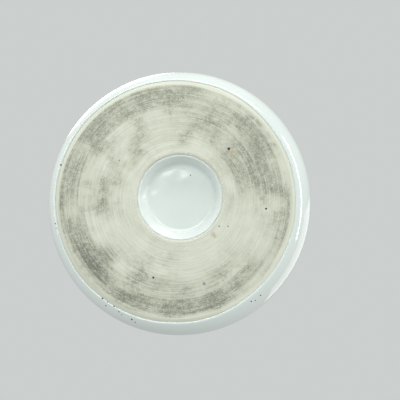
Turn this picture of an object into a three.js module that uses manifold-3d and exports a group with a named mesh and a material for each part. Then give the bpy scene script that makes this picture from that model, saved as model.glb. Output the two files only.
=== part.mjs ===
// Small porcelain brush pot. One thrown and turned body stands on a wide unglazed foot,
// under three separate coats of glaze: outside, inside, and in the small well of the foot.
// Millimetres, +Z up, origin at the centre of the foot.
import * as THREE from 'three';
import { mergeVertices } from 'three/addons/utils/BufferGeometryUtils.js';
import Module from 'manifold-3d';

const wasm = await Module();
wasm.setup();

// Driving dimensions of the pot
const potHeight = 120;
const footRadius = 46.4;
const waistRadius = 44.6;
const waistHeight = 66;
const mouthRadius = 47;
const footWall = 5.6;
const lipWall = 4.2;
const floorThickness = 5.2;
const insideCornerRadius = 6;

// Foot edge: its rounding over the glaze, and how far its flat reaches round that rounding
const footEdgeRadius = 9.3;
const footFlatAngle = THREE.MathUtils.degToRad(18);
const glazeLineHeight = 0.25;

// Glaze, and the clearance that keeps each coat apart from what it covers
const glazeThickness = 0.4;
const coatClearance = 0.02;
const lipSeamClearance = 0.1;

// Well turned in the foot, a little off the pot's axis
const wellRadius = 14.5;
const wellDepth = 4.5;
const wellWallAngle = THREE.MathUtils.degToRad(58);
const wellCornerRadius = 1.6;
const wellRimRadius = 1;
const wellGlazeStart = 0.6;
const wellCentreX = 1.4;
const wellCentreY = -1.4;
const cutterReach = 1;

// Fineness of the round surfaces
const potSegments = 48;
const wellSegments = 32;
const edgeSteps = 5;
const lipSteps = 6;
const wallSteps = 7;
const cornerSteps = 4;

// Derived sizes
const coatDepth = glazeThickness + coatClearance;
const bodyEdgeRadius = footEdgeRadius - coatDepth;
const edgeCentreRadius = footRadius - footEdgeRadius;
const edgeCentreHeight = bodyEdgeRadius * Math.cos(footFlatAngle);
const glazeLineAngle = Math.acos((edgeCentreHeight - glazeLineHeight) / footEdgeRadius);
const lipRadius = lipWall / 2;
const lipCentreRadius = mouthRadius - lipRadius;
const lipCentreHeight = potHeight - lipRadius;
const floorHeight = wellDepth + floorThickness + 2 * coatDepth;

const white = new THREE.Color(0.86, 0.9, 0.88);
const cream = new THREE.Color(0.78, 0.78, 0.7);

function point(radius, height) {
  return new THREE.Vector2(radius, height);
}

// Points of a round arc, with the angle counted from +radius towards +height.
function arc(centreRadius, centreHeight, radius, from, to, steps) {
  const points = [];
  for (let step = 0; step <= steps; step += 1) {
    const angle = from + ((to - from) * step) / steps;
    points.push(point(centreRadius + radius * Math.cos(angle), centreHeight + radius * Math.sin(angle)));
  }
  return points;
}

// Radius of the glazed outside: it draws in to the waist and flares to the mouth.
function outerRadius(height) {
  if (height < waistHeight) {
    const share = (height - edgeCentreHeight) / (waistHeight - edgeCentreHeight);
    return footRadius + (waistRadius - footRadius) * THREE.MathUtils.smoothstep(share, 0, 1);
  }
  const share = (height - waistHeight) / (lipCentreHeight - waistHeight);
  return waistRadius + (mouthRadius - waistRadius) * share * share;
}

// Radius of the glazed inside: the wall thins from the foot to the lip.
function innerRadius(height) {
  const share = (height - edgeCentreHeight) / (lipCentreHeight - edgeCentreHeight);
  return outerRadius(height) - (footWall + (lipWall - footWall) * share);
}

// Outside surface, set in by a depth, from an angle of the foot edge up and over the lip.
function outsideSurface(inset, startAngle) {
  const down = -Math.PI / 2;
  const points = arc(edgeCentreRadius, edgeCentreHeight, footEdgeRadius - inset, down + startAngle, 0, edgeSteps);
  for (let step = 1; step < wallSteps; step += 1) {
    const height = edgeCentreHeight + ((lipCentreHeight - edgeCentreHeight) * step) / wallSteps;
    points.push(point(outerRadius(height) - inset, height));
  }
  return points.concat(arc(lipCentreRadius, lipCentreHeight, lipRadius - inset, 0, Math.PI, lipSteps));
}

// Inside surface, set in by a depth, from below the lip down the wall and across the floor to the axis.
function insideSurface(inset, startHeight) {
  const cornerHeight = floorHeight + insideCornerRadius;
  const cornerCentre = innerRadius(cornerHeight) - insideCornerRadius;
  const points = [];
  for (let step = 0; step < wallSteps; step += 1) {
    const height = startHeight + ((cornerHeight - startHeight) * step) / wallSteps;
    points.push(point(innerRadius(height) + inset, height));
  }
  const corner = arc(cornerCentre, cornerHeight, insideCornerRadius + inset, 0, -Math.PI / 2, cornerSteps);
  return points.concat(corner, [point(0, floorHeight - inset)]);
}

// Well surface, set in by a depth, from a height on its wall up to its floor and the axis.
function wellSurface(inset, startHeight) {
  const cornerHeight = wellDepth - wellCornerRadius;
  const wallReach = cornerHeight / Math.tan(wellWallAngle);
  const cornerCentre = wellRadius - wallReach - wellCornerRadius / Math.sin(wellWallAngle);
  const wallNormal = Math.PI / 2 - wellWallAngle;
  const startRadius = wellRadius - startHeight / Math.tan(wellWallAngle) + inset / Math.sin(wellWallAngle);
  const corner = arc(cornerCentre, cornerHeight, wellCornerRadius + inset, wallNormal, Math.PI / 2, cornerSteps);
  return [point(startRadius, startHeight), ...corner, point(0, wellDepth + inset)];
}

// Cutter for the well: the well surface, its rounded rim, and a flat below the foot.
function wellCutterOutline() {
  const wallOffset = coatDepth / Math.sin(wellWallAngle);
  const rimOffset = wellRimRadius / Math.sin(wellWallAngle) - wellRimRadius / Math.tan(wellWallAngle);
  const rimCentre = wellRadius + wallOffset + rimOffset;
  const rimEnd = -Math.PI / 2 - wellWallAngle;
  const rim = arc(rimCentre, wellRimRadius, wellRimRadius, -Math.PI / 2, rimEnd, cornerSteps);
  const wallAndFloor = wellSurface(coatDepth, 0).slice(1);
  return [point(0, -cutterReach), point(rimCentre, -cutterReach), ...rim, ...wallAndFloor];
}

// Turns an outline, listed with the material on its left, into a closed solid.
function turned(outline, segments) {
  const lathe = new THREE.LatheGeometry(outline, segments);
  lathe.rotateX(Math.PI / 2);
  lathe.deleteAttribute('normal');
  lathe.deleteAttribute('uv');
  const merged = mergeVertices(lathe, 1e-4);
  const corners = merged.index.array;
  const triangles = [];
  for (let first = 0; first < corners.length; first += 3) {
    const [a, b, c] = corners.slice(first, first + 3);
    if (a !== b && b !== c && c !== a) {
      triangles.push(a, b, c);
    }
  }
  const vertProperties = new Float32Array(merged.attributes.position.array);
  const triVerts = new Uint32Array(triangles);
  return new wasm.Manifold(new wasm.Mesh({ numProp: 3, vertProperties, triVerts }));
}

function namedMesh(name, solid, color, roughness) {
  const { vertProperties, triVerts } = solid.getMesh();
  const geometry = new THREE.BufferGeometry();
  geometry.setAttribute('position', new THREE.BufferAttribute(vertProperties, 3));
  geometry.setIndex(new THREE.BufferAttribute(triVerts, 1));
  geometry.computeVertexNormals();
  const mesh = new THREE.Mesh(geometry, new THREE.MeshStandardMaterial({ color, roughness, metalness: 0 }));
  mesh.name = name;
  return mesh;
}

// Body
const bodyOutline = [
  point(0, 0),
  point(edgeCentreRadius + bodyEdgeRadius * Math.sin(footFlatAngle), 0),
  ...outsideSurface(coatDepth, glazeLineAngle),
  ...insideSurface(coatDepth, lipCentreHeight).slice(1),
];
const wellCutter = turned(wellCutterOutline(), wellSegments).translate([wellCentreX, wellCentreY, 0]);
const body = turned(bodyOutline, potSegments).subtract(wellCutter);

// Glaze coats, each between its surface and the same surface set in by its thickness
const outsideFront = outsideSurface(0, glazeLineAngle);
const outsideBack = outsideSurface(glazeThickness, glazeLineAngle).reverse();
const outsideOutline = [...outsideFront, ...outsideBack, outsideFront[0].clone()];
const insideStart = lipCentreHeight - lipSeamClearance;
const insideOutline = [
  ...insideSurface(glazeThickness, insideStart).reverse(),
  ...insideSurface(0, insideStart),
];
const wellOutline = [
  ...wellSurface(0, wellGlazeStart).reverse(),
  ...wellSurface(glazeThickness, wellGlazeStart),
];

const brushPot = new THREE.Group();
brushPot.add(namedMesh('porcelain_body', body, cream, 0.8));
brushPot.add(namedMesh('outside_glaze', turned(outsideOutline, potSegments), white, 0.15));
brushPot.add(namedMesh('inside_glaze', turned(insideOutline, potSegments), white, 0.15));
const wellGlaze = namedMesh('well_glaze', turned(wellOutline, wellSegments), white, 0.2);
wellGlaze.position.set(wellCentreX, wellCentreY, 0);
brushPot.add(wellGlaze);

export default brushPot;
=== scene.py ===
"""A small glazed porcelain brush pot, seen from under its foot."""
import math

import bmesh
import bpy
from mathutils import Matrix, Vector, noise


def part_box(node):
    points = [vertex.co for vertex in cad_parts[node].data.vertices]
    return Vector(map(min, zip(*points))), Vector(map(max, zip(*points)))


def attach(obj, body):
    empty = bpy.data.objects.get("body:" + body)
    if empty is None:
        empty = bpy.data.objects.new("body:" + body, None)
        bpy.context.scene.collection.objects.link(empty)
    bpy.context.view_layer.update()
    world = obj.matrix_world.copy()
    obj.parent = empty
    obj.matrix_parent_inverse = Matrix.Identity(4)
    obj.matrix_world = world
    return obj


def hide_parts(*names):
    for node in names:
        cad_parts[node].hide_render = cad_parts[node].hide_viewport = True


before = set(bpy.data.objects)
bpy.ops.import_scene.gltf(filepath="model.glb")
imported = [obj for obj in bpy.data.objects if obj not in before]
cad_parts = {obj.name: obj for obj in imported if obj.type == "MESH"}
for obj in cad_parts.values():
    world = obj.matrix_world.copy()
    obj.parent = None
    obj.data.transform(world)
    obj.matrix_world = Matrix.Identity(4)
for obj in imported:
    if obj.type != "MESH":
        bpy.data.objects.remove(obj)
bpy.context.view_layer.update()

bl_info = {
    "name": "Porcelain brush pot",
    "version": (1, 0, 0),
    "blender": (4, 5, 0),
    "location": "View3D > Sidebar > Brush Pot",
    "description": "Builds a turned porcelain brush pot with its glaze coats, foot and studio",
    "category": "Add Mesh",
}

MM = 0.001
TURN = 2 * math.pi

# Places read from the frame
GLAZE_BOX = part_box("outside_glaze")
WELL_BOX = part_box("well_glaze")
POT_HEIGHT = GLAZE_BOX[1][2]
MOUTH_RADIUS = GLAZE_BOX[1][0]
WELL_CENTRE = ((WELL_BOX[0][0] + WELL_BOX[1][0]) / 2, (WELL_BOX[0][1] + WELL_BOX[1][1]) / 2)
POT_CENTRE = (0.0, 0.0)

# How far the glaze's lower edge lies off the pot's axis
GLAZE_SLIP = (-0.8 * MM, -0.4 * MM)

# Fineness of the turned surfaces
POT_SEGMENTS = 288
WELL_SEGMENTS = 160

# The photograph's camera: image size, focal length, where the foot's centre falls, how far away it
# is, and how far the foot is turned from facing the camera
IMAGE_PIXELS = 400
FOCAL_PIXELS = 620
FOOT_CENTRE_PIXEL = (175.4, 201.3)
FOOT_DISTANCE = 211 * MM
LEAN_RIGHT = math.radians(4.5)
LEAN_DOWN = math.radians(3.0)
SENSOR_WIDTH = 36.0


def length(name, text, default):
    return bpy.props.FloatProperty(
        name=name, description=text, default=default, unit="LENGTH", precision=5)


def slant(name, text, degrees):
    return bpy.props.FloatProperty(
        name=name, description=text, default=math.radians(degrees), subtype="ANGLE")


def colour(name, text, default):
    return bpy.props.FloatVectorProperty(
        name=name, description=text, default=default, subtype="COLOR", size=3, min=0.0, max=1.0)


class PotSizes(bpy.types.PropertyGroup):
    """Sizes of the pot that the frame's boxes don't give."""
    foot_radius: length("Foot radius", "Glazed radius above the foot edge", 46.4 * MM)
    waist_radius: length("Waist radius", "Narrowest glazed radius", 44.6 * MM)
    waist_height: length("Waist height", "Height of the narrowest place", 66 * MM)
    foot_wall: length("Wall at foot", "Wall thickness above the foot", 5.6 * MM)
    lip_wall: length("Wall at lip", "Wall thickness at the lip", 4.2 * MM)
    floor_thickness: length("Floor", "Thickness of the floor over the well", 5.2 * MM)
    corner_radius: length("Inside corner", "Rounding between wall and floor", 6 * MM)
    edge_radius: length("Foot edge", "Rounding of the foot edge over the glaze", 9.3 * MM)
    flat_angle: slant("Flat angle", "Angle of the edge rounding where the flat foot starts", 18)
    glaze_line_height: length("Glaze line", "Height of the glaze's lower edge", 0.25 * MM)
    glaze: length("Glaze", "Thickness of a coat of glaze", 0.4 * MM)
    clearance: length("Clearance", "Gap between a coat and the body", 0.02 * MM)
    well_radius: length("Well radius", "Radius of the well at the foot", 14.5 * MM)
    well_depth: length("Well depth", "Depth of the well's floor", 4.5 * MM)
    well_angle: slant("Well wall", "Slope of the well's wall", 58)
    well_corner: length("Well corner", "Rounding round the well's floor", 1.6 * MM)
    well_rim: length("Well rim", "Rounding of the well's rim", 1 * MM)
    groove_depth: length("Turning marks", "Depth of the tool's marks on the foot", 0.09 * MM)
    groove_spacing: length("Mark spacing", "Distance between turning marks", 0.55 * MM)


class PotColours(bpy.types.PropertyGroup):
    """Colours of the clay, glaze, soil, specks and studio."""
    clay: colour("Clay", "Clean unglazed porcelain", (0.63, 0.655, 0.53))
    clay_pale: colour("Pale clay", "Worn bright clay", (0.74, 0.77, 0.67))
    soil: colour("Soil", "Grey soil rubbed into the foot", (0.15, 0.155, 0.135))
    soil_olive: colour("Olive soil", "Lighter olive soil", (0.42, 0.435, 0.33))
    glaze: colour("Glaze", "Glaze over white clay", (0.775, 0.83, 0.79))
    glaze_deep: colour("Deep glaze", "Glaze where it pools", (0.66, 0.75, 0.72))
    speck: colour("Speck", "Iron and cobalt specks", (0.02, 0.025, 0.045))
    tan: colour("Tan", "Warm halo round an iron spot", (0.52, 0.36, 0.19))
    blue: colour("Blue", "Stray blue pigment", (0.13, 0.22, 0.30))
    floor: colour("Floor", "Studio floor", (0.80, 0.81, 0.81))
    background: colour("Background", "What shows behind the pot", (0.60, 0.625, 0.615))


def smooth(value):
    value = min(1.0, max(0.0, value))
    return value * value * (3 - 2 * value)


# Outline of the pot, in the same formulas as its solids; the last arguments of a path say how
# finely it is divided

def edge_centre(sizes):
    inset = sizes.glaze + sizes.clearance
    height = (sizes.edge_radius - inset) * math.cos(sizes.flat_angle)
    return sizes.foot_radius - sizes.edge_radius, height


def glaze_line_angle(sizes):
    height = edge_centre(sizes)[1]
    return math.acos((height - sizes.glaze_line_height) / sizes.edge_radius)


def outer_radius(sizes, height):
    start = edge_centre(sizes)[1]
    lip = POT_HEIGHT - sizes.lip_wall / 2
    if height < sizes.waist_height:
        share = smooth((height - start) / (sizes.waist_height - start))
        return sizes.foot_radius + (sizes.waist_radius - sizes.foot_radius) * share
    share = (height - sizes.waist_height) / (lip - sizes.waist_height)
    return sizes.waist_radius + (MOUTH_RADIUS - sizes.waist_radius) * share * share


def inner_radius(sizes, height):
    start = edge_centre(sizes)[1]
    share = (height - start) / (POT_HEIGHT - sizes.lip_wall / 2 - start)
    return outer_radius(sizes, height) - (sizes.foot_wall + (sizes.lip_wall - sizes.foot_wall) * share)


def floor_height(sizes):
    return sizes.well_depth + sizes.floor_thickness + 2 * (sizes.glaze + sizes.clearance)


def arc(centre, radius, start, end, steps):
    points = []
    for step in range(steps + 1):
        angle = start + (end - start) * step / steps
        points.append((centre[0] + radius * math.cos(angle), centre[1] + radius * math.sin(angle)))
    return points


def outside_path(sizes, inset, start_angle, edge_steps=28, wall_steps=90, lip_steps=20):
    centre = edge_centre(sizes)
    lip_radius = sizes.lip_wall / 2
    lip_height = POT_HEIGHT - lip_radius
    points = arc(centre, sizes.edge_radius - inset, start_angle - math.pi / 2, 0, edge_steps)
    for step in range(1, wall_steps):
        height = centre[1] + (lip_height - centre[1]) * step / wall_steps
        points.append((outer_radius(sizes, height) - inset, height))
    lip = arc((MOUTH_RADIUS - lip_radius, lip_height), lip_radius - inset, 0, math.pi, lip_steps)
    return points + lip


def inside_path(sizes, inset, start_height, wall_steps=70, corner_steps=14, floor_steps=24):
    corner_height = floor_height(sizes) + sizes.corner_radius
    centre = (inner_radius(sizes, corner_height) - sizes.corner_radius, corner_height)
    points = []
    for step in range(wall_steps):
        height = start_height + (corner_height - start_height) * step / wall_steps
        points.append((inner_radius(sizes, height) + inset, height))
    points += arc(centre, sizes.corner_radius + inset, 0, -math.pi / 2, corner_steps)
    for step in range(1, floor_steps + 1):
        points.append((centre[0] * (1 - step / floor_steps), floor_height(sizes) - inset))
    return points


# Rings across the floor of the well's glaze
WELL_FLOOR_STEPS = 16


def well_path(sizes, inset, start_height, wall_steps=8, corner_steps=12, floor_steps=WELL_FLOOR_STEPS):
    slope = sizes.well_angle
    corner_height = sizes.well_depth - sizes.well_corner
    wall_reach = corner_height / math.tan(slope)
    centre_radius = sizes.well_radius - wall_reach - sizes.well_corner / math.sin(slope)
    corner = arc((centre_radius, corner_height), sizes.well_corner + inset,
                 math.pi / 2 - slope, math.pi / 2, corner_steps)
    start = (sizes.well_radius - start_height / math.tan(slope) + inset / math.sin(slope), start_height)
    points = []
    for step in range(wall_steps):
        share = step / wall_steps
        points.append((start[0] + (corner[0][0] - start[0]) * share,
                       start[1] + (corner[0][1] - start[1]) * share))
    points += corner
    for step in range(1, floor_steps + 1):
        points.append((centre_radius * (1 - step / floor_steps), sizes.well_depth + inset))
    return points


def turned_mesh(name, rings, segments, shape=None, closed=False, marks=None):
    """A mesh of rings, each (radius, height, centre), where a ring of no radius is one point.

    shape moves each vertex. closed joins the last ring to the first. marks gives the vertices
    named attributes, with one value for each ring.
    """
    mesh = bmesh.new()
    marks = marks or {}
    layers = {key: mesh.verts.layers.float.new(key) for key in marks}
    rows = []
    for index, (radius, height, centre) in enumerate(rings):
        row = []
        count = segments if radius > 0 else 1
        for step in range(count):
            angle = TURN * step / segments
            across = centre[0] + radius * math.cos(angle)
            along = centre[1] + radius * math.sin(angle)
            place = Vector((across, along, height))
            if shape:
                place = shape(place, angle, index)
            vert = mesh.verts.new(place)
            for key, values in marks.items():
                vert[layers[key]] = values[index]
            row.append(vert)
        rows.append(row)
    pairs = list(zip(rows, rows[1:]))
    if closed:
        pairs.append((rows[-1], rows[0]))
    for low, high in pairs:
        for step in range(segments):
            following = (step + 1) % segments
            if len(low) == 1:
                mesh.faces.new((low[0], high[following], high[step]))
            elif len(high) == 1:
                mesh.faces.new((low[step], low[following], high[0]))
            else:
                mesh.faces.new((low[step], low[following], high[following], high[step]))
    bmesh.ops.recalc_face_normals(mesh, faces=mesh.faces)
    data = bpy.data.meshes.new(name)
    mesh.to_mesh(data)
    mesh.free()
    for face in data.polygons:
        face.use_smooth = True
    piece = bpy.data.objects.new(name, data)
    bpy.context.scene.collection.objects.link(piece)
    return piece


def finish_piece(piece, material, node=None):
    piece.data.materials.clear()
    piece.data.materials.append(material)
    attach(piece, "root")
    if node:
        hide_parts(node)


# Small helpers for node trees

class Tree:
    """Adds and links nodes of one tree by short calls."""

    def __init__(self, tree):
        self.tree = tree

    def add(self, kind, settings=None, **inputs):
        node = self.tree.nodes.new(kind)
        for key, value in (settings or {}).items():
            setattr(node, key, value)
        for key, value in inputs.items():
            self.put(node.inputs[key.replace("_", " ")], value)
        return node

    def put(self, socket, value):
        if isinstance(value, bpy.types.NodeSocket):
            self.tree.links.new(value, socket)
        else:
            socket.default_value = value

    def math(self, operation, first, second=0.0, clamp=False):
        node = self.tree.nodes.new("ShaderNodeMath")
        node.operation = operation
        node.use_clamp = clamp
        self.put(node.inputs[0], first)
        self.put(node.inputs[1], second)
        return node.outputs[0]

    def ramp(self, value, low, high, to_low=0.0, to_high=1.0):
        node = self.add("ShaderNodeMapRange", {"interpolation_type": "SMOOTHSTEP"})
        self.put(node.inputs["Value"], value)
        bounds = {"From Min": low, "From Max": high, "To Min": to_low, "To Max": to_high}
        for key, number in bounds.items():
            node.inputs[key].default_value = number
        return node.outputs["Result"]

    def mix(self, factor, first, second):
        node = self.add("ShaderNodeMix", {"data_type": "RGBA"})
        self.put(node.inputs["Factor"], factor)
        colours = [socket for socket in node.inputs if socket.type == "RGBA"]
        for socket, value in zip(colours, (first, second)):
            if not isinstance(value, bpy.types.NodeSocket):
                value = (*value, 1.0)
            self.put(socket, value)
        return [socket for socket in node.outputs if socket.type == "RGBA"][0]

    def noise(self, vector, scale, detail=4.0, roughness=0.55):
        node = self.add("ShaderNodeTexNoise", Scale=scale, Detail=detail, Roughness=roughness)
        self.put(node.inputs["Vector"], vector)
        return node.outputs["Factor" if "Factor" in node.outputs else "Fac"]


def new_material(name):
    material = bpy.data.materials.new(name)
    material.use_nodes = True
    tree = Tree(material.node_tree)
    shader = material.node_tree.nodes["Principled BSDF"]
    place = tree.add("ShaderNodeTexCoord").outputs["Object"]
    return material, tree, shader, place


def bump(tree, shader, height, distance, strength):
    node = tree.add("ShaderNodeBump", Strength=strength, Distance=distance)
    tree.put(node.inputs["Height"], height)
    tree.tree.links.new(node.outputs["Normal"], shader.inputs["Normal"])


def polar(tree, place, centre):
    """Radius in millimetres and angle about a centre; the angle is counted as in the photograph."""
    parts = tree.add("ShaderNodeSeparateXYZ")
    tree.put(parts.inputs[0], place)
    across = tree.math("SUBTRACT", parts.outputs["X"], centre[0])
    along = tree.math("SUBTRACT", parts.outputs["Y"], centre[1])
    radius = tree.math("SQRT", tree.math("ADD", tree.math("MULTIPLY", across, across),
                                         tree.math("MULTIPLY", along, along)))
    angle = tree.math("ARCTAN2", tree.math("MULTIPLY", along, -1.0), across)
    return tree.math("DIVIDE", radius, MM), angle, parts.outputs["Z"]


def spot(tree, place, centre, inner, outer):
    """1 inside a round spot of the foot, falling to 0 at its outer radius, both in millimetres."""
    radius, _angle, _height = polar(tree, place, (centre[0] * MM, centre[1] * MM))
    return tree.ramp(radius, inner, outer, 1.0, 0.0)


def painted_spots(tree, place, base, spots, paint, core, edge, strength=1.0):
    """The base with round spots laid on it; core and edge are shares of each spot's radius."""
    for x, y, radius in spots:
        mark = spot(tree, place, (x, y), radius * core, radius * edge)
        base = tree.mix(tree.math("MULTIPLY", mark, strength), base, paint)
    return base


# How softly a sector ends: outside and inside its radii in millimetres, and in its angle's cosine
FADE_OUTSIDE = 1.2
FADE_INSIDE = 0.4
FADE_AROUND = 0.12


def sector(tree, radius, angle, ring, middle, half_width):
    """1 in a stretch of a ring: radii (inner, outer) in millimetres, angles in degrees."""
    inner = tree.ramp(radius, ring[0] - FADE_OUTSIDE, ring[0] + FADE_INSIDE)
    outer = tree.ramp(radius, ring[1] - FADE_INSIDE, ring[1] + FADE_OUTSIDE, 1.0, 0.0)
    turned = tree.math("COSINE", tree.math("SUBTRACT", angle, math.radians(middle)))
    edge = math.cos(math.radians(half_width))
    inside = tree.ramp(turned, edge - FADE_AROUND, edge + FADE_AROUND)
    return tree.math("MULTIPLY", tree.math("MULTIPLY", inner, outer), inside)


# Soil on the foot: rings in millimetres, middle and half width in degrees, strength
SOIL_SECTORS = (
    ((33.4, 37.2), 218, 17, 1.25),
    ((31.0, 38.0), 212, 28, 0.70),
    ((35.0, 38.8), 242, 20, 0.92),
    ((33.5, 38.8), 272, 34, 0.74),
    ((27.0, 37.0), 275, 30, 0.50),
    ((32.0, 39.6), 112, 44, 0.66),
    ((33.0, 40.2), 158, 30, 0.64),
    ((38.0, 40.2), 165, 32, 0.70),
    ((22.0, 37.5), 27, 26, 0.68),
    ((25.0, 37.0), 68, 26, 0.56),
    ((20.0, 34.0), 100, 26, 0.26),
    ((27.0, 36.0), 176, 18, 0.36),
    ((38.6, 39.9), 350, 11, 1.2),
    ((35.6, 38.6), 340, 16, 0.70),
    ((33.0, 37.2), 315, 9, 1.3),
)
# Clean patches: centre x and y, inner and outer radius, in millimetres
CLEAN_SPOTS = ((22.0, 11.5, 3, 13), (-18.5, 9.0, 2, 12), (6.0, 20.0, 3, 12), (1.4, -1.4, 15, 21))
# How strongly the thin cloud of soil shows, and how much of it a clean patch takes away
CLOUD_STRENGTH = 0.66
CLEAN_STRENGTH = 0.7
# Radii in millimetres where the soil ends short of the glaze, and its reach up the well's rim
SOIL_END = (39.2, 40.6)
SOIL_RISE = (0.15 * MM, 0.7 * MM)

# Spots on the foot, each with its centre x and y and its radius, in millimetres: dark specks of
# iron and cobalt, tan halos round the iron, and stray blue pigment
FOOT_SPECKS = (
    (18.2, -17.8, 0.48), (30.7, 2.6, 0.36), (-7.5, 25.9, 0.38), (-19.4, -14.2, 0.2),
    (14.9, 8.5, 0.24), (17.9, 8.5, 0.22), (-7.9, -12.2, 0.4),
)
TAN_SPOTS = ((19.4, -16.4, 1.5), (18.4, -17.9, 0.9), (12.9, 11.3, 1.3), (13.4, 11.9, 0.8))
BLUE_SPOTS = ((9.8, 27.9, 0.8), (9.7, 27.6, 0.45))

# Radii in millimetres between which the turning streaks change from rings round the well to rings
# round the foot, and how much a streak changes on its way round
STREAK_DRIFT = (14, 38)
STREAK_CHANGE = 0.55


def turning_streaks(tree, place, radius, angle):
    """Noise drawn out in rings, as a turning tool leaves them."""
    well_radius, _angle, _height = polar(tree, place, WELL_CENTRE)
    share = tree.ramp(radius, *STREAK_DRIFT)
    ring = tree.math("ADD", tree.math("MULTIPLY", radius, share),
                     tree.math("MULTIPLY", well_radius, tree.math("SUBTRACT", 1.0, share)))
    drawn_out = tree.add("ShaderNodeCombineXYZ")
    tree.put(drawn_out.inputs[0], ring)
    tree.put(drawn_out.inputs[1], tree.math("MULTIPLY", tree.math("COSINE", angle), STREAK_CHANGE))
    tree.put(drawn_out.inputs[2], tree.math("MULTIPLY", tree.math("SINE", angle), STREAK_CHANGE))
    return tree.noise(drawn_out.outputs[0], scale=3.2, detail=6.0, roughness=0.72)


def soil_on_foot(tree, place, on_axis, streaks, fine):
    """How much soil lies on the foot: a thin cloud and the placed patches, worn along the streaks."""
    radius, angle, height = on_axis
    cloud = tree.noise(place, scale=95.0, detail=6.0, roughness=0.62)
    mottle = tree.noise(place, scale=700.0, detail=6.0, roughness=0.75)
    soil = tree.math("MULTIPLY", tree.ramp(cloud, 0.32, 0.66), CLOUD_STRENGTH)
    for ring, middle, half_width, strength in SOIL_SECTORS:
        patch = sector(tree, radius, angle, ring, middle, half_width)
        soil = tree.math("MAXIMUM", soil, tree.math("MULTIPLY", patch, strength))
    for x, y, inner, outer in CLEAN_SPOTS:
        rubbed = tree.math("MULTIPLY", spot(tree, place, (x, y), inner, outer), CLEAN_STRENGTH)
        soil = tree.math("MULTIPLY", soil, tree.math("SUBTRACT", 1.0, rubbed))
    soil = tree.math("MULTIPLY", soil, tree.ramp(cloud, 0.25, 0.62, 0.55, 1.1))
    worn = tree.math("ADD", tree.ramp(streaks, 0.72, 0.30), tree.ramp(mottle, 0.26, 0.72))
    worn = tree.math("ADD", tree.math("MULTIPLY", worn, 0.5), tree.ramp(fine, 0.30, 0.75, -0.18, 0.22))
    soil = tree.math("MULTIPLY", soil, tree.math("ADD", 0.30, tree.math("MULTIPLY", worn, 0.95)))
    on_foot = tree.ramp(radius, *SOIL_END, 1.0, 0.0)
    below = tree.ramp(height, *SOIL_RISE, 1.0, 0.0)
    return tree.math("MULTIPLY", tree.math("MULTIPLY", soil, on_foot), below, clamp=True)


def biscuit_material(colours):
    material, tree, shader, place = new_material("unglazed_foot")
    on_axis = polar(tree, place, GLAZE_SLIP)
    streaks = turning_streaks(tree, place, on_axis[0], on_axis[1])
    fine = tree.noise(place, scale=2600.0, detail=3.0)
    soil = soil_on_foot(tree, place, on_axis, streaks, fine)
    base = tree.mix(tree.ramp(streaks, 0.35, 0.7), colours.clay, colours.clay_pale)
    base = tree.mix(tree.math("MULTIPLY", soil, 1.5, clamp=True), base, colours.soil_olive)
    base = tree.mix(tree.ramp(soil, 0.30, 1.10), base, colours.soil)
    base = painted_spots(tree, place, base, TAN_SPOTS, colours.tan, core=0.1, edge=1.0, strength=0.55)
    base = painted_spots(tree, place, base, BLUE_SPOTS, colours.blue, core=0.2, edge=1.0, strength=0.7)
    base = painted_spots(tree, place, base, FOOT_SPECKS, colours.speck, core=0.75, edge=1.15)
    base = tree.mix(tree.ramp(fine, 0.66, 0.78, 0.0, 0.35), base, colours.soil)
    tree.put(shader.inputs["Base Color"], base)
    tree.put(shader.inputs["Roughness"], tree.ramp(streaks, 0.2, 0.8, 0.5, 0.72))
    shader.inputs["Specular IOR Level"].default_value = 0.4
    grain = tree.math("ADD", tree.math("MULTIPLY", streaks, 0.7), tree.math("MULTIPLY", fine, 0.3))
    bump(tree, shader, grain, distance=0.12 * MM, strength=0.7)
    return material


# Specks burnt into the glaze, each with its centre x and y and its radius, in millimetres: round
# the foot edge, and in the well
GLAZE_SPECKS = (
    (-40.3, -12.9, 0.4), (-42.0, 7.5, 0.35), (-41.7, 9.2, 0.3), (-25.0, 33.0, 0.5), (-23.2, 34.2, 0.35),
    (-21.0, 35.6, 0.45), (-19.4, 37.6, 0.3), (-24.0, 35.6, 0.3), (-18.4, 38.6, 0.25), (-15.0, 40.2, 0.4),
    (-14.0, 41.2, 0.3), (25.6, 33.7, 0.3), (27.0, 33.4, 0.25), (28.7, 31.7, 0.3),
)
WELL_SPECKS = ((4.7, -9.3, 0.3),)
# Heights over which the foot edge's specks end, so that none shows further up the pot
SPECK_END = (8 * MM, 10 * MM)
# Where glaze pools and looks deeper, as ramps over height: at the foot edge, and on the well's floor
FOOT_POOL = (0, 3 * MM, 1.0, 0.0)
WELL_POOL = (2.6 * MM, 4.4 * MM, 0.0, 1.0)


def scattered_dots(tree, place):
    """1 in a small round dot, in about one of forty cells."""
    cells = tree.add("ShaderNodeTexVoronoi", {"feature": "F1"}, Scale=150.0, Randomness=1.0)
    tree.put(cells.inputs["Vector"], place)
    pick = tree.add("ShaderNodeSeparateColor")
    tree.put(pick.inputs[0], cells.outputs["Color"])
    chosen = tree.math("GREATER_THAN", pick.outputs[0], 0.975)
    return tree.math("MULTIPLY", tree.ramp(cells.outputs["Distance"], 0.03, 0.07, 1.0, 0.0), chosen)


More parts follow.
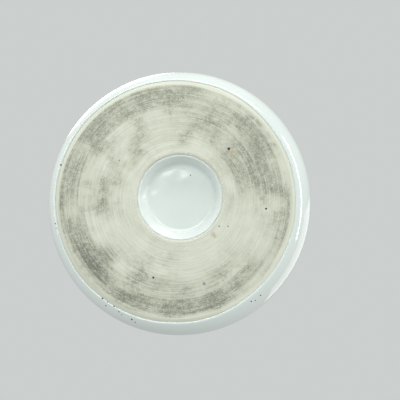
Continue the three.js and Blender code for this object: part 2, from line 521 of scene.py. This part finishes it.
def glaze_material(name, colours, pool, specks):
    material, tree, shader, place = new_material(name)
    drift = tree.noise(place, scale=38.0, detail=4.0)
    ripple = tree.noise(place, scale=160.0, detail=3.0)
    fine = tree.noise(place, scale=900.0, detail=2.0)
    height = polar(tree, place, POT_CENTRE)[2]
    pooled = tree.math("MULTIPLY", tree.ramp(height, *pool), 0.35)
    dots = tree.math("MULTIPLY", scattered_dots(tree, place), 0.75)
    near_foot = tree.ramp(height, *SPECK_END, 1.0, 0.0)
    base = tree.mix(tree.ramp(drift, 0.3, 0.8, 0.0, 0.4), colours.glaze, colours.glaze_deep)
    base = tree.mix(pooled, base, colours.glaze_deep)
    base = tree.mix(dots, base, colours.speck)
    base = painted_spots(tree, place, base, specks, colours.speck,
                         core=0.5, edge=1.0, strength=near_foot)
    tree.put(shader.inputs["Base Color"], base)
    tree.put(shader.inputs["Roughness"], tree.ramp(ripple, 0.3, 0.7, 0.06, 0.13))
    shader.inputs["IOR"].default_value = 1.5
    shader.inputs["Coat Weight"].default_value = 0.5
    shader.inputs["Coat Roughness"].default_value = 0.05
    relief = tree.math("ADD", ripple, tree.math("MULTIPLY", fine, 0.25))
    bump(tree, shader, relief, distance=0.08 * MM, strength=0.35)
    return material


def grit_material(colours):
    material, tree, shader, place = new_material("kiln_grit")
    tint = tree.noise(place, scale=1400.0, detail=2.0)
    base = tree.mix(tree.ramp(tint, 0.35, 0.6), colours.clay_pale, colours.soil_olive)
    tree.put(shader.inputs["Base Color"], base)
    tree.put(shader.inputs["Roughness"], tree.ramp(tint, 0.3, 0.7, 0.15, 0.5))
    return material


# Geometry node trees

def node_group(name, inputs):
    group = bpy.data.node_groups.new(name, "GeometryNodeTree")
    group.interface.new_socket(name="Geometry", in_out="INPUT", socket_type="NodeSocketGeometry")
    sockets = {}
    for label, kind in inputs:
        sockets[label] = group.interface.new_socket(name=label, in_out="INPUT", socket_type=kind)
    group.interface.new_socket(name="Geometry", in_out="OUTPUT", socket_type="NodeSocketGeometry")
    tree = Tree(group)
    return group, tree, tree.add("NodeGroupInput"), tree.add("NodeGroupOutput"), sockets


def attribute(tree, name):
    node = tree.add("GeometryNodeInputNamedAttribute", {"data_type": "FLOAT"})
    node.inputs["Name"].default_value = name
    return node.outputs["Attribute"]


def end_tree(tree, given, result, geometry):
    """Ends a tree with its instances made real and its material set."""
    whole = tree.add("GeometryNodeRealizeInstances")
    tree.put(whole.inputs["Geometry"], geometry)
    dressed = tree.add("GeometryNodeSetMaterial")
    tree.put(dressed.inputs["Geometry"], whole.outputs[0])
    tree.put(dressed.inputs["Material"], given.outputs["Material"])
    tree.put(result.inputs[0], dressed.outputs[0])


def apply_tree(piece, group, values):
    """Runs the tree with its inputs set, and leaves the result as a plain mesh."""
    modifier = piece.modifiers.new(group.name, "NODES")
    modifier.node_group = group
    for socket, value in values:
        modifier[socket.identifier] = value
    bpy.context.view_layer.update()
    evaluated = piece.evaluated_get(bpy.context.evaluated_depsgraph_get())
    data = bpy.data.meshes.new_from_object(evaluated)
    piece.modifiers.remove(modifier)
    old = piece.data
    piece.data = data
    bpy.data.meshes.remove(old)
    data.name = piece.name


def turning_marks(piece, sizes, material):
    """Cuts the turning tool's rings into the foot, upwards only, so that it still stands flat."""
    group, tree, given, result, sockets = node_group("turning_marks", (
        ("Depth", "NodeSocketFloat"),
        ("Spacing", "NodeSocketFloat"),
        ("Material", "NodeSocketMaterial"),
    ))
    phase = tree.math("DIVIDE", attribute(tree, "turn"), given.outputs["Spacing"])
    drift = tree.add("ShaderNodeTexNoise", {"noise_dimensions": "4D"}, Scale=60.0, Detail=1.0)
    tree.put(drift.inputs["Vector"], tree.add("GeometryNodeInputPosition").outputs[0])
    rings = tree.add("ShaderNodeTexNoise", {"noise_dimensions": "1D"},
                     Scale=1.0, Detail=4.0, Roughness=0.7)
    tree.put(rings.inputs["W"], tree.math("ADD", phase, tree.math("MULTIPLY", drift.outputs[0], 0.5)))
    depth = tree.math("MULTIPLY", rings.outputs[0], given.outputs["Depth"])
    offset = tree.add("ShaderNodeCombineXYZ")
    tree.put(offset.inputs[2], tree.math("MULTIPLY", depth, attribute(tree, "mark")))
    moved = tree.add("GeometryNodeSetPosition")
    tree.put(moved.inputs["Geometry"], given.outputs["Geometry"])
    tree.put(moved.inputs["Offset"], offset.outputs[0])
    end_tree(tree, given, result, moved.outputs[0])
    apply_tree(piece, group, (
        (sockets["Depth"], sizes.groove_depth),
        (sockets["Spacing"], sizes.groove_spacing),
        (sockets["Material"], material),
    ))


# Grit: the largest grain's radius, the smallest grain as a share of it, grains on a square metre
# where the grit mark is 1, and the seeds of their places and sizes
GRAIN_RADIUS = 0.19 * MM
SMALLEST_GRAIN = 0.35
GRIT_DENSITY = 2.4e6
GRIT_PLACE_SEED = 7
GRIT_SIZE_SEED = 11


def scattered_grit(piece, material):
    """Replaces the piece's surface by grains fused to it where its grit mark is set."""
    group, tree, given, result, sockets = node_group("kiln_grit", (
        ("Grain radius", "NodeSocketFloat"),
        ("Density", "NodeSocketFloat"),
        ("Material", "NodeSocketMaterial"),
    ))
    points = tree.add("GeometryNodeDistributePointsOnFaces", {"distribute_method": "RANDOM"})
    points.inputs["Seed"].default_value = GRIT_PLACE_SEED
    tree.put(points.inputs["Mesh"], given.outputs["Geometry"])
    density = tree.math("MULTIPLY", attribute(tree, "grit"), given.outputs["Density"])
    tree.put(points.inputs["Density"], density)
    grain = tree.add("GeometryNodeMeshIcoSphere")
    grain.inputs["Subdivisions"].default_value = 1
    tree.put(grain.inputs["Radius"], given.outputs["Grain radius"])
    size = tree.add("FunctionNodeRandomValue", {"data_type": "FLOAT"})
    size.inputs[2].default_value = SMALLEST_GRAIN
    size.inputs[3].default_value = 1.0
    size.inputs["Seed"].default_value = GRIT_SIZE_SEED
    placed = tree.add("GeometryNodeInstanceOnPoints")
    tree.put(placed.inputs["Points"], points.outputs["Points"])
    tree.put(placed.inputs["Instance"], grain.outputs["Mesh"])
    tree.put(placed.inputs["Scale"], size.outputs[1])
    end_tree(tree, given, result, placed.outputs[0])
    apply_tree(piece, group, (
        (sockets["Grain radius"], GRAIN_RADIUS),
        (sockets["Density"], GRIT_DENSITY),
        (sockets["Material"], material),
    ))


# Height of the lowest ring on the well's wall in the body, and the steps round the rim below it
WELL_WALL_END = 1.0 * MM
RIM_STEPS = 8
# The flat foot: its rings, and how steeply the turning marks grow from the well's rim and fade
# towards the foot's edge
FLAT_STEPS = 170
MARKS_AFTER_RIM = 14
MARKS_BEFORE_EDGE = 20
# Grit lies thick, at 1, on the rim and on this first share of the flat foot, and thin on the rest
THICK_GRIT_SHARE = 0.025
THIN_GRIT = 0.012


def body_rings(sizes):
    """Rings of the body from the well's middle round the foot, up, over the lip and down inside.

    With them go two values for each ring: how deep the turning marks are, and how thick the grit.
    """
    depth = sizes.glaze + sizes.clearance
    slope = sizes.well_angle
    rings = []
    marks = []
    grit = []

    def add(points, centre, mark=0.0, grains=0.0):
        for radius, height in points:
            rings.append((radius, height, centre))
            marks.append(mark)
            grit.append(grains)

    well = well_path(sizes, depth, WELL_WALL_END, wall_steps=4, floor_steps=4)
    add(reversed(well), WELL_CENTRE)
    rim_centre = (sizes.well_radius + depth / math.sin(slope)
                  + sizes.well_rim / math.sin(slope) - sizes.well_rim / math.tan(slope))
    rim = arc((rim_centre, sizes.well_rim), sizes.well_rim,
              -math.pi / 2 - slope, -math.pi / 2, RIM_STEPS)
    add(rim, WELL_CENTRE, grains=1.0)
    flat_radius = edge_centre(sizes)[0] + (sizes.edge_radius - depth) * math.sin(sizes.flat_angle)
    for step in range(1, FLAT_STEPS + 1):
        share = step / FLAT_STEPS
        centre = (WELL_CENTRE[0] * (1 - share), WELL_CENTRE[1] * (1 - share))
        radius = rim_centre + (flat_radius - rim_centre) * share
        mark = smooth(share * MARKS_AFTER_RIM) * smooth((1 - share) * MARKS_BEFORE_EDGE)
        add([(radius, 0.0)], centre, mark, 1.0 if share < THICK_GRIT_SHARE else THIN_GRIT)
    outside = outside_path(sizes, depth, sizes.flat_angle, edge_steps=20, wall_steps=16, lip_steps=8)
    add(outside[1:], POT_CENTRE)
    inside = inside_path(sizes, depth, POT_HEIGHT - sizes.lip_wall / 2,
                         wall_steps=12, corner_steps=6, floor_steps=2)
    add(inside[1:], POT_CENTRE)
    return rings, marks, grit


# Throwing rings in the wall: the height where they begin, the height over which they grow, their
# spacing, how much a ring changes on its way round, and their strength outside and inside
THROWING_START = 6 * MM
THROWING_GROWTH = 25 * MM
THROWING_SPACING = 5.5 * MM
THROWING_CHANGE = 0.4
OUTSIDE_THROWING = 0.07 * MM
INSIDE_THROWING = 0.16 * MM
# Warp of the lip from firing: oval, with its turn in radians, and three-sided, in millimetres
OVAL_WARP = 0.10
OVAL_TURN = 0.7
THREE_SIDED_WARP = 0.05


def throwing(place, angle, strength):
    """Sways the wall slightly: fine rings from throwing and a slow warp from firing."""
    height = place.z
    share = smooth((height - THROWING_START) / THROWING_GROWTH)
    if share == 0.0:
        return place
    across = math.cos(angle) * THROWING_CHANGE
    along = math.sin(angle) * THROWING_CHANGE
    rings = noise.noise(Vector((height / THROWING_SPACING, across, along)))
    warp = math.cos(2 * angle + OVAL_TURN) * OVAL_WARP + math.cos(3 * angle) * THREE_SIDED_WARP
    scale = 1 + (rings * strength + warp * smooth(height / POT_HEIGHT) * MM) * share / MOUTH_RADIUS
    return Vector((place.x * scale, place.y * scale, place.z))


def noise_round(angle, waves, layer):
    """Noise that closes on itself round the pot, with more waves for a higher number."""
    return noise.noise(Vector((math.cos(angle) * waves, math.sin(angle) * waves, layer)))


# Bead that ends the outside glaze: its length along the foot edge, and its steps
BEAD_LENGTH = 0.6 * MM
BEAD_STEPS = 6
# Sway of the glaze line: waves, layer of the noise, and reach in millimetres
LINE_SWAYS = ((2.2, 3.0, 0.30), (9, 8.0, 0.10))
# Rings that sway with the line, in front after the bead and at the back, and the lowest they come
FRONT_SWAY_RINGS = 14
BACK_SWAY_RINGS = 4
LINE_LOWEST = 0.04 * MM


def beaded_front(sizes, start):
    """Front of the outside coat, with the rounded bead that ends it at the foot."""
    centre = edge_centre(sizes)
    line_angle = start - math.pi / 2
    bead_angle = BEAD_LENGTH / sizes.edge_radius
    bead = []
    for step in range(1, BEAD_STEPS):
        turned = step / BEAD_STEPS * math.pi / 2
        angle = line_angle + bead_angle * (1 - math.cos(turned))
        radius = sizes.edge_radius - sizes.glaze * (1 - math.sin(turned))
        bead.append((centre[0] + radius * math.cos(angle), centre[1] + radius * math.sin(angle)))
    rest = []
    for radius, height in outside_path(sizes, 0.0, start):
        angle = math.atan2(height - centre[1], radius - centre[0])
        if height > centre[1] or angle > line_angle + bead_angle:
            rest.append((radius, height))
    return bead + rest


def swayed_line(sizes, start, place, angle, share):
    """Slides a point near the glaze line along the rounded foot edge, up or down."""
    centre = edge_centre(sizes)
    sway = sum(noise_round(angle, waves, layer) * reach for waves, layer, reach in LINE_SWAYS)
    slip = -GLAZE_SLIP[0] * math.cos(angle) - GLAZE_SLIP[1] * math.sin(angle)
    turn = (sway * MM - slip) / (sizes.edge_radius * math.cos(start)) * share
    radius = math.hypot(place.x, place.y)
    arm = Vector((radius - centre[0], place.z - centre[1]))
    arm.rotate(Matrix.Rotation(turn, 2))
    scale = (centre[0] + arm.x) / radius
    return Vector((place.x * scale, place.y * scale, max(LINE_LOWEST, centre[1] + arm.y)))


# Spiral that throwing left on the floor inside: the radii it lies between, half the distance from
# one turn to the next, its depth, the radius over which it grows, and how far above the floor a
# point still belongs to it
SPIRAL_RADII = (1 * MM, 32 * MM)
SPIRAL_HALF_TURN = 2.6 * MM
SPIRAL_DEPTH = 0.06 * MM
SPIRAL_GROWTH = 8 * MM
SPIRAL_REACH = 1 * MM


def thrown_floor(sizes, place, angle):
    """Waves the floor inside in a spiral, and leaves other points as they are."""
    radius = math.hypot(place.x, place.y)
    on_floor = place.z < floor_height(sizes) + SPIRAL_REACH
    if not (on_floor and SPIRAL_RADII[0] < radius < SPIRAL_RADII[1]):
        return place
    lift = math.sin(radius / SPIRAL_HALF_TURN * math.pi + angle) * SPIRAL_DEPTH
    return Vector((place.x, place.y, place.z + lift * smooth(radius / SPIRAL_GROWTH)))


# Glaze in the well: the height where it starts, the waves and reach of its sway there, and the
# fineness and depth of the dips in its floor
WELL_GLAZE_START = 0.6 * MM
WELL_SWAY_WAVES = 5
WELL_SWAY_REACH = 0.22 * MM
WELL_DIP_SCALE = 260
WELL_DIP_DEPTH = 0.05 * MM


# Operators, one for each piece or group of like pieces

class MakeBody(bpy.types.Operator):
    """Make the turned porcelain body with its foot and the grit fused to it"""
    bl_idname = "brush_pot.make_body"
    bl_label = "Body and foot"

    def execute(self, context):
        sizes = context.scene.pot_sizes
        colours = context.scene.pot_colours
        rings, marks, grit = body_rings(sizes)
        turns = [radius for radius, _height, _centre in rings]
        body = turned_mesh("pot_body", rings, POT_SEGMENTS, marks={"turn": turns, "mark": marks})
        biscuit = biscuit_material(colours)
        turning_marks(body, sizes, biscuit)
        finish_piece(body, biscuit, "porcelain_body")
        grains = turned_mesh("kiln_grit", rings, POT_SEGMENTS, marks={"grit": grit})
        scattered_grit(grains, grit_material(colours))
        # The grains' first slot is empty, so the grit shows the plain default surface
        finish_piece(grains, grains.data.materials[0])
        return {"FINISHED"}


class MakeOutsideGlaze(bpy.types.Operator):
    """Make the coat of glaze from the foot edge up and over the lip"""
    bl_idname = "brush_pot.make_outside_glaze"
    bl_label = "Outside glaze"

    def execute(self, context):
        sizes = context.scene.pot_sizes
        start = glaze_line_angle(sizes)
        front = beaded_front(sizes, start)
        back = outside_path(sizes, sizes.glaze, start, edge_steps=10, wall_steps=30, lip_steps=8)
        rings = [(radius, height, POT_CENTRE) for radius, height in front + back[::-1]]
        front_sway = BEAD_STEPS - 1 + FRONT_SWAY_RINGS
        back_sway = len(rings) - BACK_SWAY_RINGS

        def shape(place, angle, index):
            if index < front_sway:
                return swayed_line(sizes, start, place, angle, 1 - index / front_sway)
            if index >= back_sway:
                return swayed_line(sizes, start, place, angle, 1.0)
            return throwing(place, angle, OUTSIDE_THROWING)

        coat = turned_mesh("outside_glaze_coat", rings, POT_SEGMENTS, shape=shape, closed=True)
        glaze = glaze_material("pot_glaze", context.scene.pot_colours, FOOT_POOL, GLAZE_SPECKS)
        finish_piece(coat, glaze, "outside_glaze")
        return {"FINISHED"}


class MakeInsideGlaze(bpy.types.Operator):
    """Make the coat of glaze on the inner wall and floor"""
    bl_idname = "brush_pot.make_inside_glaze"
    bl_label = "Inside glaze"

    def execute(self, context):
        sizes = context.scene.pot_sizes
        start = POT_HEIGHT - sizes.lip_wall / 2
        front = inside_path(sizes, 0.0, start)
        back = inside_path(sizes, sizes.glaze, start, wall_steps=24, corner_steps=8, floor_steps=2)
        rings = [(radius, height, POT_CENTRE) for radius, height in back[::-1] + front]

        def shape(place, angle, _index):
            return thrown_floor(sizes, throwing(place, angle, INSIDE_THROWING), angle)

        coat = turned_mesh("inside_glaze_coat", rings, POT_SEGMENTS, shape=shape)
        glaze = glaze_material("inside_pot_glaze", context.scene.pot_colours, FOOT_POOL, ())
        finish_piece(coat, glaze, "inside_glaze")
        return {"FINISHED"}


class MakeWellGlaze(bpy.types.Operator):
    """Make the coat of glaze in the well of the foot"""
    bl_idname = "brush_pot.make_well_glaze"
    bl_label = "Well glaze"

    def execute(self, context):
        sizes = context.scene.pot_sizes
        front = well_path(sizes, 0.0, WELL_GLAZE_START)
        back = well_path(sizes, sizes.glaze, WELL_GLAZE_START)
        rings = [(radius, height, WELL_CENTRE) for radius, height in front[::-1] + back]
        edge_rings = (len(front) - 1, len(front))

        def shape(place, angle, index):
            lift = 0.0
            if index in edge_rings:
                lift = noise_round(angle, WELL_SWAY_WAVES, 1.0) * WELL_SWAY_REACH
            elif index < WELL_FLOOR_STEPS:
                lift = noise.noise(place * WELL_DIP_SCALE) * WELL_DIP_DEPTH
            return Vector((place.x, place.y, place.z + lift))

        coat = turned_mesh("well_glaze_coat", rings, WELL_SEGMENTS, shape=shape)
        glaze = glaze_material("well_glaze", context.scene.pot_colours, WELL_POOL, WELL_SPECKS)
        finish_piece(coat, glaze, "well_glaze")
        return {"FINISHED"}


# The studio floor's half width in metres, and how far it lies under the foot
FLOOR_HALF = 3.0
FLOOR_DROP = 0.15 * MM
# The light that the world gives from all round
WORLD_LIGHT = (0.97, 1.0, 1.0, 1.0)
WORLD_STRENGTH = 0.52
# Points that the lamps face
FOOT_AIM = (0, 0, 0)
POT_AIM = (0, 0, 0.05)
# Soft lamps: name, place, aim, width and height in metres, power in watts
LAMPS = (
    ("foot_fill", (-0.05, -0.20, -0.42), FOOT_AIM, (0.30, 0.30), 1.0),
    ("foot_window", (0.05, -0.58, -0.21), FOOT_AIM, (0.72, 0.08), 1.25),
    ("foot_window_right", (0.58, -0.10, -0.13), FOOT_AIM, (0.60, 0.06), 0.9),
    ("foot_window_left", (-0.60, -0.12, -0.05), FOOT_AIM, (0.50, 0.08), 0.5),
    ("key", (-0.55, -0.75, 0.75), POT_AIM, (0.7, 0.7), 4.2),
    ("fill", (0.8, 0.35, 0.5), POT_AIM, (0.8, 0.8), 2.2),
)


def studio_floor(colours):
    """A floor that is seen from above only, and neither lights nor shades the pot."""
    data = bpy.data.meshes.new("studio_floor")
    corners = [(-FLOOR_HALF, -FLOOR_HALF, -FLOOR_DROP), (FLOOR_HALF, -FLOOR_HALF, -FLOOR_DROP),
               (FLOOR_HALF, FLOOR_HALF, -FLOOR_DROP), (-FLOOR_HALF, FLOOR_HALF, -FLOOR_DROP)]
    data.from_pydata(corners, [], [(0, 1, 2, 3)])
    floor = bpy.data.objects.new("studio_floor", data)
    bpy.context.scene.collection.objects.link(floor)
    material, tree, shader, _place = new_material("studio_floor")
    shader.inputs["Base Color"].default_value = (*colours.floor, 1.0)
    shader.inputs["Roughness"].default_value = 0.9
    clear = tree.add("ShaderNodeBsdfTransparent")
    blend = tree.add("ShaderNodeMixShader")
    tree.put(blend.inputs[0], tree.add("ShaderNodeNewGeometry").outputs["Backfacing"])
    tree.put(blend.inputs[1], shader.outputs[0])
    tree.put(blend.inputs[2], clear.outputs[0])
    tree.put(material.node_tree.nodes["Material Output"].inputs["Surface"], blend.outputs[0])
    data.materials.append(material)
    floor.visible_diffuse = False
    floor.visible_glossy = False
    floor.visible_transmission = False
    floor.visible_shadow = False


def studio_world(scene, colours):
    """Even light from all round, with a plain background where the camera sees past the pot."""
    world = bpy.data.worlds.new("studio_world")
    world.use_nodes = True
    scene.world = world
    tree = Tree(world.node_tree)
    lit = world.node_tree.nodes["Background"]
    lit.inputs["Color"].default_value = WORLD_LIGHT
    lit.inputs["Strength"].default_value = WORLD_STRENGTH
    seen = tree.add("ShaderNodeBackground")
    seen.inputs["Color"].default_value = (*colours.background, 1.0)
    path = tree.add("ShaderNodeLightPath").outputs
    blend = tree.add("ShaderNodeMixShader")
    tree.put(blend.inputs[0], tree.math("MAXIMUM", path["Is Camera Ray"], path["Is Transmission Ray"]))
    tree.put(blend.inputs[1], lit.outputs[0])
    tree.put(blend.inputs[2], seen.outputs[0])
    tree.put(world.node_tree.nodes["World Output"].inputs["Surface"], blend.outputs[0])


def soft_lamp(name, place, aim, size, power):
    data = bpy.data.lights.new(name, "AREA")
    data.energy = power
    data.shape = "RECTANGLE"
    data.size, data.size_y = size
    lamp = bpy.data.objects.new(name, data)
    lamp.location = place
    direction = Vector(aim) - Vector(place)
    lamp.rotation_euler = direction.to_track_quat("-Z", "Y").to_euler()
    lamp.visible_camera = False
    bpy.context.scene.collection.objects.link(lamp)


def photo_camera(scene):
    """A camera that sees the foot as the photograph shows it, a little from one side."""
    data = bpy.data.cameras.new("photo_camera")
    data.sensor_width = SENSOR_WIDTH
    data.lens = SENSOR_WIDTH * FOCAL_PIXELS / IMAGE_PIXELS
    data.clip_start = 0.01
    camera = bpy.data.objects.new("photo_camera", data)
    scene.collection.objects.link(camera)
    right = Vector((math.cos(LEAN_RIGHT), 0, math.sin(LEAN_RIGHT)))
    up_x = math.sin(LEAN_DOWN) * math.tan(LEAN_RIGHT)
    up_z = -math.sin(LEAN_DOWN)
    up = Vector((up_x, -math.sqrt(1 - up_x * up_x - up_z * up_z), up_z))
    behind = right.cross(up)
    across = (FOOT_CENTRE_PIXEL[0] - IMAGE_PIXELS / 2) / FOCAL_PIXELS * FOOT_DISTANCE
    above = (IMAGE_PIXELS / 2 - FOOT_CENTRE_PIXEL[1]) / FOCAL_PIXELS * FOOT_DISTANCE
    place = -(right * across + up * above - behind * FOOT_DISTANCE)
    turn = Matrix((right, up, behind)).transposed().to_4x4()
    camera.matrix_world = Matrix.Translation(place) @ turn
    scene.camera = camera


class MakeStage(bpy.types.Operator):
    """Make the floor, the soft lamps, the plain world and the camera"""
    bl_idname = "brush_pot.make_stage"
    bl_label = "Stage"

    def execute(self, context):
        scene = context.scene
        studio_floor(scene.pot_colours)
        studio_world(scene, scene.pot_colours)
        for lamp in LAMPS:
            soft_lamp(*lamp)
        photo_camera(scene)
        scene.view_settings.view_transform = "Standard"
        return {"FINISHED"}


class BrushPotPanel(bpy.types.Panel):
    """Lists the steps that build the brush pot"""
    bl_idname = "VIEW3D_PT_brush_pot"
    bl_label = "Brush Pot"
    bl_space_type = "VIEW_3D"
    bl_region_type = "UI"
    bl_category = "Brush Pot"

    def draw(self, context):
        layout = self.layout
        for operator in STEPS:
            layout.operator(operator.bl_idname)
        for name in ("pot_sizes", "pot_colours"):
            group = getattr(context.scene, name)
            for key in group.__annotations__:
                layout.prop(group, key)


STEPS = (MakeStage, MakeBody, MakeOutsideGlaze, MakeInsideGlaze, MakeWellGlaze)
CLASSES = (PotSizes, PotColours, *STEPS, BrushPotPanel)


def register():
    for item in CLASSES:
        bpy.utils.register_class(item)
    bpy.types.Scene.pot_sizes = bpy.props.PointerProperty(type=PotSizes)
    bpy.types.Scene.pot_colours = bpy.props.PointerProperty(type=PotColours)


def unregister():
    del bpy.types.Scene.pot_colours
    del bpy.types.Scene.pot_sizes
    for item in reversed(CLASSES):
        bpy.utils.unregister_class(item)


def main():
    register()
    bpy.ops.brush_pot.make_stage()
    bpy.ops.brush_pot.make_body()
    bpy.ops.brush_pot.make_outside_glaze()
    bpy.ops.brush_pot.make_inside_glaze()
    bpy.ops.brush_pot.make_well_glaze()


if __name__ == "__main__":
    main()
